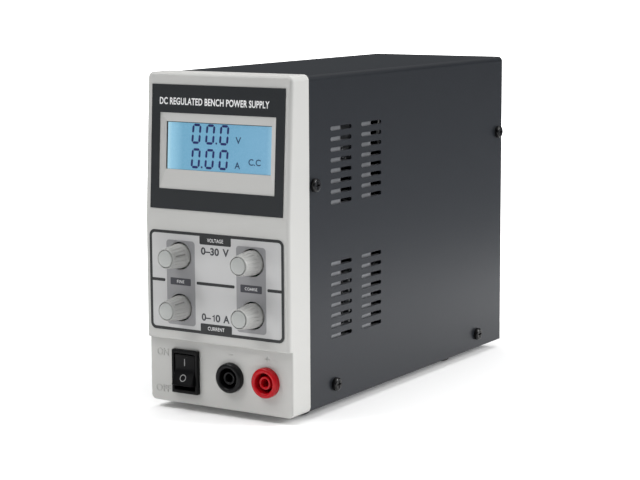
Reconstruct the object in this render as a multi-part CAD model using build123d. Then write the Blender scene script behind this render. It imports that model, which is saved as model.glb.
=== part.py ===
from build123d import *
import math
import os

# Compact switched-mode bench power supply: moulded front bezel with a raked
# display section, steel chassis and cover, rear fan and mains inlet.
# Millimetres, +X right, +Y towards the rear, +Z up.  Everything is drawn from
# the cover's front edge (y = 0) and lower edge (z = 0), then shifted so that
# the origin is the centre of the footprint at the level the feet stand on.

# ------------------------------------------------------------ driving sizes
COVER_W, COVER_D, COVER_H = 81.0, 196.5, 156.0
SHEET = 1.0                       # steel sheet thickness
COVER_BEND = 2.5                  # outside bend radius of the cover
CHASSIS_W = 78.6
CHASSIS_TOP = 152.0
CHASSIS_Y0, CHASSIS_Y1 = 0.5, 194.5
FLANGE = 8.0                      # in-turned chassis flanges

BEZEL_HALF_W = 40.7
BEZEL_Z0, BEZEL_Z1 = -0.8, 156.6
LOWER_Y = -14.8                   # front plane of the socket section
CONTROL_Y = -17.4                 # front plane of the knob section
STEP_Z = 30.4                     # ledge between the two
RIDGE_Z = 88.0                    # where the display section starts to lean back
LEAN = 3.27                       # degrees
WALL = 2.2                        # moulding wall
EDGE_R = 1.8                      # rounding of the knob and display sections' rim
LIP_R = 0.7                       # rounding of the socket section and the ledge

KNOB_X = 20.5
KNOB_Z = {"voltage": 70.9, "current": 46.2}
KNOB_HOLE_R = 6.6
KNOB_TIP_Y = -29.6
SHAFT_R = 3.0
PLUG_R = 2.0                      # 4 mm plug
SOCKET_Z = 14.9
SOCKET_X = {"black": 6.1, "red": 26.2}
FLANGE_R = 7.15

SWITCH_X, SWITCH_Z = -19.4, 15.0
SWITCH_TILT = 12.0                # each side of level

SLOT_L, SLOT_H, SLOT_PITCH = 18.8, 2.0, 4.95
SLOT_COLS = (28.4, 56.4)
SLOT_GROUPS = (113.1, 49.1)
INNER_SLOT_SHIFT = 10.5            # the chassis slots sit further back

FAN_Z, FAN_SIZE, FAN_T = 112.0, 60.0, 15.0
PANEL_Y0, PANEL_Y1 = 194.5, 195.5
INLET_X, INLET_Z = -9.5, 28.0
SELECT_X, SELECT_Z = 25.5, 28.0

FOOT_H, FOOT_R = 4.5, 7.0
FEET = [(-26.0, 9.0), (26.0, 9.0), (-26.0, 149.0), (26.0, 149.0)]

BOARD_Z = 6.0
BOARD_T = 1.6

REAR_MOST_Y = 199.7
Y_SHIFT = -(KNOB_TIP_Y + REAR_MOST_Y) / 2
Z_SHIFT = FOOT_H

os.makedirs("parts", exist_ok=True)


def save(name, solids):
    items = solids if isinstance(solids, (list, tuple)) else [solids]
    out = []
    for item in items:
        for s in item.solids():
            out.append(s)
    moved = [Pos(0, Y_SHIFT, Z_SHIFT) * s for s in out]
    shape = moved[0] if len(moved) == 1 else Compound(children=moved)
    shape.label = name
    export_step(shape, "parts/%s.step" % name)


def box(x0, x1, y0, y1, z0, z1):
    return Pos((x0 + x1) / 2, (y0 + y1) / 2, (z0 + z1) / 2) * Box(x1 - x0, y1 - y0, z1 - z0)


def cyl_y(x, z, y0, y1, r):
    return Pos(x, (y0 + y1) / 2, z) * Rot(90, 0, 0) * Cylinder(r, y1 - y0)


def cyl_x(y, z, x0, x1, r):
    return Pos((x0 + x1) / 2, y, z) * Rot(0, 90, 0) * Cylinder(r, x1 - x0)


def cyl_z(x, y, z0, z1, r):
    return Pos(x, y, (z0 + z1) / 2) * Cylinder(r, z1 - z0)


def turned_y(x, z, pts):
    # solid of revolution about the line (x, *, z); pts are (radius, y)
    prof = make_face(Polyline(*[(r, y, 0) for r, y in pts], close=True))
    return Pos(x, 0, z) * revolve(prof, Axis.Y)


def hex_y(x, z, y0, y1, flats):
    sk = Plane(origin=(x, y0, z), x_dir=(1, 0, 0), z_dir=(0, 1, 0)) * RegularPolygon(flats / 2, 6, major_radius=False)
    return extrude(sk, y1 - y0)


def hex_z(x, y, z0, z1, flats):
    sk = Plane(origin=(x, y, z0)) * RegularPolygon(flats / 2, 6, major_radius=False)
    return extrude(sk, z1 - z0)


def pan_screw(direction, head_at, length, r=1.5, head_r=3.1, head_h=2.0):
    # head_at is the underside of the head on the screw's axis; direction is
    # the way the shank points
    head = Cylinder(head_r, head_h, align=(Align.CENTER, Align.CENTER, Align.MIN))
    top = head.edges().sort_by(Axis.Z)[-1]
    head = fillet(top, head_h * 0.42)
    slot = Pos(0, 0, head_h) * (Box(head_r * 1.15, 0.8, 1.5) + Box(0.8, head_r * 1.15, 1.5))
    head = head - slot
    shank = Cylinder(r, length, align=(Align.CENTER, Align.CENTER, Align.MAX))
    body = head + shank
    d = Vector(*direction)
    x_dir = Vector(0, 0, 1) if abs(d.Z) < 0.5 else Vector(1, 0, 0)
    return Plane(origin=head_at, x_dir=x_dir, z_dir=d * -1).location * body


# ------------------------------------------------------------ front bezel
lean = math.radians(LEAN)
top_y = CONTROL_Y + (BEZEL_Z1 - RIDGE_Z) * math.tan(lean)
DISPLAY = Plane(origin=(0, CONTROL_Y, RIDGE_Z), x_dir=(1, 0, 0),
                z_dir=(0, -math.cos(lean), math.sin(lean)))


def on_display(shape):
    return DISPLAY.location * shape


def side_profile(pts, half):
    face = make_face(Polyline(*[(0, y, z) for y, z in pts], close=True))
    return extrude(face, half, dir=(1, 0, 0), both=True)


outer = side_profile([(0, BEZEL_Z0), (LOWER_Y, BEZEL_Z0), (LOWER_Y, STEP_Z),
                      (CONTROL_Y, STEP_Z), (CONTROL_Y, RIDGE_Z), (top_y, BEZEL_Z1),
                      (0, BEZEL_Z1)], BEZEL_HALF_W)


def edges_along_y(shape, z, tol=0.3):
    res = []
    for e in shape.edges():
        c = e.center()
        t = e.tangent_at(0.5)
        if abs(abs(t.Y) - 1) < 0.01 and abs(c.Z - z) < tol and abs(abs(c.X) - BEZEL_HALF_W) < tol:
            res.append(e)
    return res


outer = fillet(edges_along_y(outer, BEZEL_Z1), 2.8)
outer = fillet(edges_along_y(outer, BEZEL_Z0), 2.8)


def front_rim(shape, upper):
    res = []
    for e in shape.edges():
        c = e.center()
        if c.Y > -13.0:
            continue
        flat_front = abs(c.Y - LOWER_Y) < 0.05 and c.Z < STEP_Z - 0.1
        lip = abs(c.Y - CONTROL_Y) < 0.05 and abs(c.Z - STEP_Z) < 0.1
        ctrl = abs(c.Y - CONTROL_Y) < 0.05 and c.Z > STEP_Z + 0.1
        disp = abs((c.Y - CONTROL_Y) - (c.Z - RIDGE_Z) * math.tan(lean)) < 0.05 and c.Z > RIDGE_Z
        ridge = abs(c.Z - RIDGE_Z) < 0.05 and abs(c.X) < 1
        if ((ctrl or disp) if upper else (flat_front or lip)) and not ridge:
            res.append(e)
    return res


def first_radius(shape, edges_of, radii):
    for r in radii:
        try:
            got = fillet(edges_of(shape), r)
            if got.is_valid:
                print("rim radius", r)
                return got
        except Exception as err:
            print("rim radius", r, "not possible:", str(err)[:60])
    return shape


outer = first_radius(outer, lambda s: front_rim(s, True), (EDGE_R, 1.4, 1.0))
outer = first_radius(outer, lambda s: front_rim(s, False), (LIP_R, 0.5, 0.3))

inner = side_profile([(1, BEZEL_Z0 + WALL), (LOWER_Y + WALL, BEZEL_Z0 + WALL),
                      (LOWER_Y + WALL, STEP_Z + WALL), (CONTROL_Y + WALL, STEP_Z + WALL),
                      (CONTROL_Y + WALL, RIDGE_Z),
                      (top_y + WALL, BEZEL_Z1 - WALL), (1, BEZEL_Z1 - WALL)],
                     BEZEL_HALF_W - WALL)
bezel = outer - inner

# raked pocket round the read-out: wide at the face, narrow at the glass
LCD_OUT = (-32.6, 32.6, 14.27, 49.93)
LCD_WIN = (-29.6, 29.6, 23.45, 45.85)
RECESS = 1.0


def rect_on(plane_z, r):
    return Pos((r[0] + r[1]) / 2, (r[2] + r[3]) / 2, plane_z) * Rectangle(r[1] - r[0], r[3] - r[2])


def grow(r, d):
    return (r[0] - d, r[1] + d, r[2] - d, r[3] + d)


funnel = loft([rect_on(0.0, LCD_OUT), rect_on(-RECESS, LCD_WIN)])
mouth = extrude(rect_on(0.0, LCD_OUT), 2)
bezel = bezel - on_display(funnel + mouth)
bezel = bezel - on_display(extrude(rect_on(-6, LCD_WIN), 6))
GLASS = (-32.0, 32.0, 21.2, 48.2)
bezel = bezel - on_display(extrude(rect_on(-6, grow(GLASS, 0.2)), 6 - 1.4))

# clearance holes for the four knobs
for x in (-KNOB_X, KNOB_X):
    for z in KNOB_Z.values():
        bezel = bezel - cyl_y(x, z, -20, -10, KNOB_HOLE_R)

# switch cut-out and socket holes in the lower section
bezel = bezel - box(SWITCH_X - 7.0, SWITCH_X + 7.0, -20, -10, SWITCH_Z - 9.6, SWITCH_Z + 9.6)
for x in SOCKET_X.values():
    bezel = bezel - cyl_y(x, SOCKET_Z, -20, -10, 6.05)

# bosses: corners for the chassis screws, four for each board
PANEL_SCREWS_XZ = [(-35.0, 6.0), (35.0, 6.0), (-35.0, 148.5), (35.0, 148.5)]
for x, z in PANEL_SCREWS_XZ:
    boss = cyl_y(x, z, -13.2, 0.0, 3.2) & outer
    bezel = bezel + boss
    bezel = bezel - cyl_y(x, z, -8.5, 1, 1.52)
CONTROL_BOSSES = [(0.0, 40.0), (0.0, 77.0), (-27.8, 58.5), (27.8, 58.5)]
CONTROL_BOARD_Y = -0.9
for x, z in CONTROL_BOSSES:
    bezel = bezel + cyl_y(x, z, CONTROL_Y + WALL - 0.4, CONTROL_BOARD_Y, 2.6)
    bezel = bezel - cyl_y(x, z, -7.5, 1, 1.52)
DISPLAY_BOSSES = [(-34.9, 14.5), (34.9, 14.5), (-34.9, 49.5), (34.9, 49.5)]
DISPLAY_BOARD_D = 8.0
for x, v in DISPLAY_BOSSES:
    bezel = bezel + on_display(Pos(x, v, -(WALL - 0.4 + DISPLAY_BOARD_D) / 2) *
                               Cylinder(2.4, DISPLAY_BOARD_D - WALL + 0.4))
    bezel = bezel - on_display(Pos(x, v, -(3.0 + DISPLAY_BOARD_D) / 2 - 0.5) *
                               Cylinder(1.52, DISPLAY_BOARD_D - 3.0 + 1.0))
save("front_bezel", bezel)

# printed foils
LABEL = (-37.4, 37.4, 4.75, 63.1)
LABEL_T = 0.3
label = on_display(extrude(rect_on(0, LABEL) - rect_on(0, LCD_OUT), LABEL_T))
save("display_label", label)

CONTROL_FOIL_HALF, CF_Z0, CF_Z1 = 38.0, 34.8, 82.6
foil_plane = Plane(origin=(0, CONTROL_Y, 0), x_dir=(1, 0, 0), z_dir=(0, -1, 0))
foil = Pos(0, (CF_Z0 + CF_Z1) / 2) * RectangleRounded(2 * CONTROL_FOIL_HALF, CF_Z1 - CF_Z0, 3.0)
for x in (-KNOB_X, KNOB_X):
    for z in KNOB_Z.values():
        foil = foil - Pos(x, z) * Circle(KNOB_HOLE_R)
save("control_label", extrude(foil_plane * foil, 0.25))

# ------------------------------------------------------------ read-out
save("lcd_panel", on_display(extrude(rect_on(-3.4, GLASS), 2.0)))
light = extrude(rect_on(-7.4, grow(GLASS, -0.4)), 4.0)
save("lcd_backlight", on_display(light))
board = extrude(rect_on(-DISPLAY_BOARD_D - BOARD_T, (-37.2, 37.2, 11.0, 53.0)), BOARD_T)
for x, v in DISPLAY_BOSSES:
    board = board - Pos(x, v, -DISPLAY_BOARD_D) * Cylinder(1.6, 6)
save("display_board", on_display(board))

# ------------------------------------------------------------ control board and potentiometers
cboard = box(-31.0, 31.0, CONTROL_BOARD_Y, CONTROL_BOARD_Y + BOARD_T, 35.5, 81.0)
for x, z in CONTROL_BOSSES:
    cboard = cboard - cyl_y(x, z, -3, 3, 1.6)
save("control_board", cboard)

POT_Y0, POT_Y1 = -7.9, CONTROL_BOARD_Y
for kind, z in KNOB_Z.items():
    for grade, x in (("fine", -KNOB_X), ("coarse", KNOB_X)):
        tag = "%s_%s" % (kind, grade)
        body = box(x - 4.9, x + 4.9, POT_Y0, POT_Y1, z - 5.5, z + 5.5)
        body = fillet(body.edges().filter_by(Axis.Y), 0.6)
        body = body + cyl_y(x, z, -12.4, POT_Y0, 4.4)
        body = body - cyl_y(x, z, -13, -2.2, SHAFT_R + 0.05)
        save("%s_pot" % tag, body)
        shaft = cyl_y(x, z, -26.0, -2.6, SHAFT_R)
        flat = box(x - 4, x + 4, -26.1, -15.0, z + 1.5, z + 4)
        save("%s_shaft" % tag, shaft - flat)
        knob = turned_y(x, z, [(0, -13.2), (5.6, -13.2), (5.8, -13.6), (5.8, -18.6),
                               (5.7, -19.4), (4.75, -28.4), (4.5, -28.9), (4.0, -28.9),
                               (4.0, -27.9), (0, -27.9)])
        d_bore = cyl_y(x, z, -26.0, -13.0, SHAFT_R) - flat
        save("%s_knob" % tag, knob - d_bore)
        cap = turned_y(x, z, [(0, -27.9), (3.8, -27.9), (3.8, -29.2), (3.5, -29.5),
                              (2.2, KNOB_TIP_Y), (0, KNOB_TIP_Y)])
        save("%s_knob_cap" % tag, cap)

# ------------------------------------------------------------ rocker switch
sx, sz = SWITCH_X, SWITCH_Z
housing = box(sx - 7.5, sx + 7.5, -16.8, LOWER_Y, sz - 10.5, sz + 10.5)
housing = fillet(housing.edges().filter_by(Axis.Y), 0.4)
housing = housing + box(sx - 6.9, sx + 6.9, -16.0, -2.4, sz - 9.5, sz + 9.5)
PIVOT_Y = -13.0
WELL = -9.4
housing = housing - box(sx - 6.1, sx + 6.1, -18, WELL, sz - 8.75, sz + 8.75)
housing = housing - cyl_x(PIVOT_Y, sz, sx - 6.6, sx + 6.6, 1.25)
save("switch_housing", housing)
t12 = math.tan(math.radians(SWITCH_TILT))
HALF = 7.4
neutral = [(-3.7, 0), (-3.7 - HALF * t12, HALF), (-1.9, HALF + 0.05), (1.4, 4.3),
           (1.4, -4.3), (-1.9, -HALF - 0.05), (-3.7 - HALF * t12, -HALF)]
a = math.radians(-SWITCH_TILT)
turned = [(PIVOT_Y + y * math.cos(a) - z * math.sin(a), sz + y * math.sin(a) + z * math.cos(a))
          for y, z in neutral]
face = make_face(Polyline(*[(sx, y, z) for y, z in turned], close=True))
paddle = extrude(face, 5.75, dir=(1, 0, 0), both=True)
paddle = paddle + cyl_x(PIVOT_Y, sz, sx - 6.5, sx + 6.5, 1.2)
save("switch_rocker", paddle)
save("switch_terminals", [box(sx - 2.4, sx + 2.4, -2.4, 5.6, sz + d - 0.4, sz + d + 0.4)
                          - cyl_z(sx, 3.4, sz + d - 1, sz + d + 1, 0.8) for d in (-6.5, 0.0)])

# ------------------------------------------------------------ 4 mm safety sockets
CONTACT_Y = -9.0                  # front of the metal contact, behind the insulated tip
nuts = []
for colour, x in SOCKET_X.items():
    shell = turned_y(x, SOCKET_Z, [
        (4.8, -17.6), (5.4, -17.9), (6.4, -17.9), (FLANGE_R, -17.0), (FLANGE_R, LOWER_Y),
        (5.95, LOWER_Y), (5.95, -0.3), (2.5, -0.3), (2.5, CONTACT_Y), (PLUG_R, CONTACT_Y),
        (PLUG_R, -16.4), (2.2, -16.6), (3.1, -16.6), (3.1, -4.0),
        (4.8, -4.0)])
    save("%s_socket" % colour, shell)
    contact = turned_y(x, SOCKET_Z, [(PLUG_R, CONTACT_Y), (2.5, CONTACT_Y), (2.5, 7.6), (0, 7.6),
                                     (0, 4.6), (PLUG_R, 4.6)])
    tab = box(x - 1.6, x + 1.6, 7.0, 12.6, SOCKET_Z - 0.4, SOCKET_Z + 0.4)
    save("%s_socket_contact" % colour, contact + tab)
    nut = hex_y(x, SOCKET_Z, LOWER_Y + WALL, LOWER_Y + WALL + 4.0, 15.0) - cyl_y(x, SOCKET_Z, -14, 0, 6.0)
    nuts.append(nut)
save("socket_nuts", nuts)

# ------------------------------------------------------------ cover and chassis
def slot_cutter(y_shift, length):
    sk = None
    for zc in SLOT_GROUPS:
        for yc in SLOT_COLS:
            for i in range(8):
                z = zc + (i - 3.5) * SLOT_PITCH
                s = Pos(yc + y_shift, z) * SlotOverall(length, SLOT_H)
                sk = s if sk is None else sk + s
    # local x is +Y and local y is +Z on this plane
    pl = Plane(origin=(0, 0, 0), x_dir=(0, 1, 0), z_dir=(1, 0, 0))
    return extrude(pl * sk, 60, both=True)


def u_shell(half_w, z_top, y0, y1, bend, t, z_low=0.0):
    outer_u = box(-half_w, half_w, y0, y1, z_low, z_top)
    outer_u = fillet(outer_u.edges().filter_by(Axis.Y).sort_by(Axis.Z)[-2:], bend)
    inner_u = box(-half_w + t, half_w - t, y0 - 1, y1 + 1, z_low - 5, z_top - t)
    inner_u = fillet(inner_u.edges().filter_by(Axis.Y).sort_by(Axis.Z)[-2:], max(bend - t, 0.3))
    return outer_u - inner_u


COVER_SCREWS = [(4.4, 105.6), (22.5, 8.6), (191.4, 115.5), (168.6, 7.5)]
cover = u_shell(COVER_W / 2, COVER_H, 0.4, COVER_D, COVER_BEND, SHEET)
cover = cover - slot_cutter(0, SLOT_L)
for y, z in COVER_SCREWS:
    cover = cover - cyl_x(y, z, -45, 45, 1.7)
save("top_cover", cover)

cw = CHASSIS_W / 2
chassis = box(-cw, cw, CHASSIS_Y0, CHASSIS_Y1, 0, CHASSIS_TOP) \
    - box(-cw + SHEET, cw - SHEET, CHASSIS_Y0 + SHEET, CHASSIS_Y1 - SHEET, SHEET, CHASSIS_TOP + 5)
chassis = chassis - box(-cw + FLANGE, cw - FLANGE, CHASSIS_Y0 - 5, CHASSIS_Y1 + 5, SHEET, CHASSIS_TOP + 5)
chassis = chassis - slot_cutter(INNER_SLOT_SHIFT, SLOT_L)
for y, z in COVER_SCREWS:
    chassis = chassis - cyl_x(y, z, -45, 45, 1.55)
for x, z in PANEL_SCREWS_XZ:
    chassis = chassis - cyl_y(x, z, -5, 205, 1.6)
for x, y in FEET:
    chassis = chassis - cyl_z(x, y, -3, 3, 1.55)
STANDOFFS = [(-28.5, 19.0), (28.5, 19.0), (-28.5, 156.0), (28.5, 156.0)]
save("chassis", chassis)

screws = []
for y, z in COVER_SCREWS:
    for s in (-1, 1):
        screws.append(pan_screw((-s, 0, 0), (s * COVER_W / 2, y, z), 6.0, head_r=3.2, head_h=2.1))
save("cover_screws", screws)

# ------------------------------------------------------------ rear panel
panel = box(-39.2, 39.2, PANEL_Y0, PANEL_Y1, 0, 154.6)
panel = fillet(panel.edges().filter_by(Axis.Y).sort_by(Axis.Z)[-2:], 2.0)
panel = panel - cyl_y(0, FAN_Z, 190, 200, 28.5)
FAN_HOLES = [(sxx * 25.0, FAN_Z + szz * 25.0) for sxx in (-1, 1) for szz in (-1, 1)]
for x, z in FAN_HOLES:
    panel = panel - cyl_y(x, z, 190, 200, 1.7)
panel = panel - box(INLET_X - 14.2, INLET_X + 14.2, 190, 200, INLET_Z - 14.4, INLET_Z + 14.4)
for s in (-1, 1):
    panel = panel - cyl_y(INLET_X + s * 20, INLET_Z, 190, 200, 1.6)
panel = panel - box(SELECT_X - 5.1, SELECT_X + 5.1, 190, 200, SELECT_Z - 10.1, SELECT_Z + 10.1)
for x, z in PANEL_SCREWS_XZ:
    panel = panel - cyl_y(x, z, 190, 200, 1.7)
save("rear_panel", panel)

ps = []
for x, z in PANEL_SCREWS_XZ:
    ps.append(pan_screw((0, -1, 0), (x, CHASSIS_Y0 + SHEET, z), 8.0, head_r=2.8, head_h=2.0))
    ps.append(pan_screw((0, -1, 0), (x, PANEL_Y1, z), 8.0, head_r=2.8, head_h=2.0))
save("panel_screws", ps)

# ------------------------------------------------------------ fan
fy0, fy1 = PANEL_Y0 - FAN_T, PANEL_Y0
frame = box(-30, 30, fy0, fy1, FAN_Z - 30, FAN_Z + 30)
frame = fillet(frame.edges().filter_by(Axis.Y), 4.0)
frame = frame - cyl_y(0, FAN_Z, fy0 - 1, fy1 + 1, 28.8)
for x, z in FAN_HOLES:
    frame = frame - cyl_y(x, z, fy0 - 1, fy1 + 1, 1.9)
# motor mount on four spokes at the inner side, with the bearing tube
spider = cyl_y(0, FAN_Z, fy0, fy0 + 2.0, 12.5)
for ang in (45, 135, 225, 315):
    arm = Pos(0, 0, FAN_Z) * (Rot(0, ang, 0) * box(10.0, 29.6, fy0, fy0 + 2.0, -1.3, 1.3))
    spider = spider + arm
spider = spider + cyl_y(0, FAN_Z, fy0, fy0 + 9.0, 4.0)
spider = spider - cyl_y(0, FAN_Z, fy0 + 1.0, fy1, 1.55)
frame = frame + spider
save("fan_frame", frame)

hub = cyl_y(0, FAN_Z, fy0 + 2.6, fy1 - 1.2, 13.5)
hub = fillet(hub.edges().filter_by(GeomType.CIRCLE).sort_by(Axis.Y)[-1], 1.0)
hub = hub - cyl_y(0, FAN_Z, fy0 + 2.0, fy1 - 2.6, 12.0)
hub = hub + cyl_y(0, FAN_Z, fy0 + 1.5, fy1 - 2.0, 1.5)
blade = Pos(20.4, 0, 0) * Rot(38, 0, 0) * Box(15.2, 13.2, 1.2)
ring = Cylinder(27.6, 60) - Cylinder(13.0, 60)
ring = Rot(90, 0, 0) * ring
slab = Pos(0, 0, 0) * Box(80, 10.6, 80)
blade = blade & ring & slab
rotor = hub
by = (fy0 + 2.6 + fy1 - 1.2) / 2
for k in range(7):
    rotor = rotor + Pos(0, by, FAN_Z) * (Rot(0, 360.0 / 7 * k, 0) * blade)
save("fan_rotor", rotor)

WIRE = 0.8
guard = None
gy = PANEL_Y1 + WIRE
for r in (9.0, 15.5, 22.0, 28.5):
    tor = Pos(0, gy + 1.3, FAN_Z) * (Rot(90, 0, 0) * Torus(r, WIRE))
    guard = tor if guard is None else guard + tor
for ang in (45, 135, 225, 315):
    ux, uz = math.cos(math.radians(ang)), math.sin(math.radians(ang))
    rod = Pos(ux * 20.2, gy, FAN_Z + uz * 20.2) * (Rot(0, -ang, 0) * (Rot(0, 90, 0) * Cylinder(WIRE, 24.6)))
    guard = guard + rod
for x, z in FAN_HOLES:
    guard = guard + (cyl_y(x, z, PANEL_Y1, PANEL_Y1 + 1.6, 3.6))
for x, z in FAN_HOLES:
    guard = guard - cyl_y(x, z, PANEL_Y1 - 1, PANEL_Y1 + 5, 1.75)
save("fan_guard", guard)
save("fan_screws", [pan_screw((0, -1, 0), (x, PANEL_Y1 + 1.6, z), 12.0, r=1.6, head_r=2.9, head_h=1.8)
                    for x, z in FAN_HOLES])

# ------------------------------------------------------------ mains inlet with fuse drawer
ix, iz = INLET_X, INLET_Z
FL_Y0, FL_Y1 = PANEL_Y1, 198.0
flange = box(ix - 24.5, ix + 24.5, FL_Y0, FL_Y1, iz - 16.5, iz + 16.5)
flange = chamfer(flange.edges().filter_by(Axis.Y), 6.0)
inlet = flange + box(ix - 14.0, ix + 14.0, 177.0, FL_Y0 + 1, iz - 14.2, iz + 14.2)
CAV_Z = iz - 4.6
cav = extrude(Plane(origin=(ix, 182.0, CAV_Z), x_dir=(-1, 0, 0), z_dir=(0, 1, 0)) * Polygon(
    (-12.2, -8.4), (12.2, -8.4), (12.2, 4.0), (7.8, 8.4), (-7.8, 8.4), (-12.2, 4.0), align=None), 20)
inlet = inlet - cav
DR_Z = iz + 9.0
inlet = inlet - box(ix - 11.3, ix + 11.3, 182.4, 200, DR_Z - 3.8, DR_Z + 3.8)
PINS = [(-7.0, -2.0), (7.0, -2.0), (0.0, 2.0)]
for px, pz in PINS:
    inlet = inlet - box(ix + px - 1.0, ix + px + 1.0, 170, 190, CAV_Z + pz - 2.0, CAV_Z + pz + 2.0)
for s in (-1, 1):
    inlet = inlet - cyl_y(ix + s * 20, iz, 190, 200, 1.6)
save("mains_inlet", inlet)
save("inlet_pins", [box(ix + px - 1.0, ix + px + 1.0, 170.5, 195.6, CAV_Z + pz - 2.0, CAV_Z + pz + 2.0)
                    for px, pz in PINS])
drawer = box(ix - 11.0, ix + 11.0, 182.8, 198.6, DR_Z - 3.5, DR_Z + 3.5)
drawer = drawer - box(ix - 10.3, ix + 10.3, 185.6, 192.0, DR_Z - 2.2, DR_Z + 5)
lip = box(ix - 12.2, ix + 12.2, 198.3, REAR_MOST_Y, DR_Z - 4.6, DR_Z + 4.6)
lip = chamfer(lip.edges().filter_by(Axis.X).sort_by(Axis.Y)[-2:], 0.4)
drawer = drawer + lip - box(ix - 4, ix + 4, 199.3, 201, DR_Z + 3.4, DR_Z + 6)
save("fuse_drawer", drawer)
fuse = cyl_x(188.8, DR_Z + 0.4, ix - 10.0, ix + 10.0, 2.6)
save("fuse", fuse)
save("inlet_screws", [pan_screw((0, -1, 0), (ix + s * 20, FL_Y1, iz), 7.0, head_r=2.7, head_h=1.5)
                      for s in (-1, 1)])

# ------------------------------------------------------------ mains voltage selector
vx, vz = SELECT_X, SELECT_Z
sel = box(vx - 7.25, vx + 7.25, PANEL_Y1, PANEL_Y1 + 1.2, vz - 14.0, vz + 14.0)
sel = fillet(sel.edges().filter_by(Axis.Y), 2.0)
sel = sel + box(vx - 5.0, vx + 5.0, 186.0, PANEL_Y1 + 0.5, vz - 10.0, vz + 10.0)
sel = sel - box(vx - 2.8, vx + 2.8, 192.6, 200, vz - 6.6, vz + 6.6)
save("selector_housing", sel)
slider = box(vx - 2.45, vx + 2.45, 193.0, 196.4, vz + 0.2, vz + 6.2)
slider = slider - box(vx - 3, vx + 3, 195.6, 197, vz + 2.7, vz + 3.7)
save("selector_slider", slider)

# ------------------------------------------------------------ power board
bx, by0, by1 = 32.5, 14.0, 162.0
main = box(-bx, bx, by0, by1, BOARD_Z, BOARD_Z + BOARD_T)
for x, y in STANDOFFS:
    main = main - cyl_z(x, y, 0, 12, 1.55)
save("main_board", main)
save("board_standoffs", [hex_z(x, y, SHEET, BOARD_Z, 5.5) - cyl_z(x, y, SHEET + 1.0, 8, 1.52)
                         for x, y in STANDOFFS])
bt = BOARD_Z + BOARD_T
bs = [pan_screw((0, 0, -1), (x, y, bt), 5.0, head_r=2.8, head_h=1.9) for x, y in STANDOFFS]
for x, z in CONTROL_BOSSES:
    bs.append(pan_screw((0, -1, 0), (x, CONTROL_BOARD_Y + BOARD_T, z), 6.0, head_r=2.8, head_h=1.9))
disp_in = (0, -math.cos(lean), math.sin(lean))
for x, v in DISPLAY_BOSSES:
    p = DISPLAY.from_local_coords(Vector(x, v, -DISPLAY_BOARD_D - BOARD_T))
    bs.append(pan_screw(disp_in, (p.X, p.Y, p.Z), 5.0, head_r=2.2, head_h=1.9))
save("board_screws", bs)

core = box(-20, 20, 77.5, 92.5, bt, bt + 33)
for s in (-1, 1):
    core = core - box(min(s * 6, s * 14), max(s * 6, s * 14), 70, 100, bt + 6.5, bt + 26.5)
save("transformer_core", core)
wind = box(-13.7, 13.7, 68, 102, bt + 6.9, bt + 26.1)
wind = fillet(wind.edges().filter_by(Axis.Z), 5.0)
wind = wind - box(-6.2, 6.2, 77.3, 92.7, 0, 60)
save("transformer_winding", wind)
choke = cyl_z(0, 52, bt, bt + 13, 14.5) - cyl_z(0, 52, 0, 60, 6.0)
choke = fillet(choke.edges().filter_by(GeomType.CIRCLE), 2.5)
save("output_choke", choke)
caps = [fillet(cyl_z(x, 125, bt, bt + 35, 11).edges().sort_by(Axis.Z)[-1], 1.2) for x in (-12.5, 12.5)]
caps += [fillet(cyl_z(x, 29, bt, bt + 20, 5).edges().sort_by(Axis.Z)[-1], 0.8) for x in (-12, 0, 12)]
save("electrolytic_capacitors", caps)


def heat_sink(s, y0, y1):
    def bb(xa, xb, ya, yb, za, zb):
        return box(min(s * xa, s * xb), max(s * xa, s * xb), ya, yb, za, zb)
    hs = bb(25.0, 28.0, y0, y1, bt, bt + 50)
    n = int((y1 - y0) // 6)
    for i in range(n + 1):
        yc = y0 + 0.75 + i * ((y1 - y0 - 1.5) / n)
        hs = hs + bb(27.5, 32.4, yc - 0.75, yc + 0.75, bt, bt + 50)
    return hs


save("primary_heat_sink", heat_sink(-1, 66, 144))
save("secondary_heat_sink", heat_sink(1, 30, 108))
tr = []
for y in (80, 100):
    tr.append(box(-25.0, -20.4, y - 8, y + 8, bt + 8, bt + 29))
for y in (42, 62, 100):
    tr.append(box(20.4, 25.0, y - 8, y + 8, bt + 8, bt + 29))
save("power_transistors", tr)

# ------------------------------------------------------------ feet
feet, fs = [], []
for x, y in FEET:
    foot = cyl_z(x, y, -FOOT_H, 0, FOOT_R)
    foot = fillet(foot.edges().filter_by(GeomType.CIRCLE).sort_by(Axis.Z)[0], 1.0)
    foot = foot - cyl_z(x, y, -FOOT_H - 1, -2.0, 3.4) - cyl_z(x, y, -5, 1, 1.6)
    feet.append(foot)
    fs.append(pan_screw((0, 0, 1), (x, y, -2.0), 5.0, head_r=2.8, head_h=1.8))
save("rubber_feet", feet)
save("foot_screws", fs)
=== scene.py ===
import math

import bmesh
import bpy
from mathutils import Matrix, Vector


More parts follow.
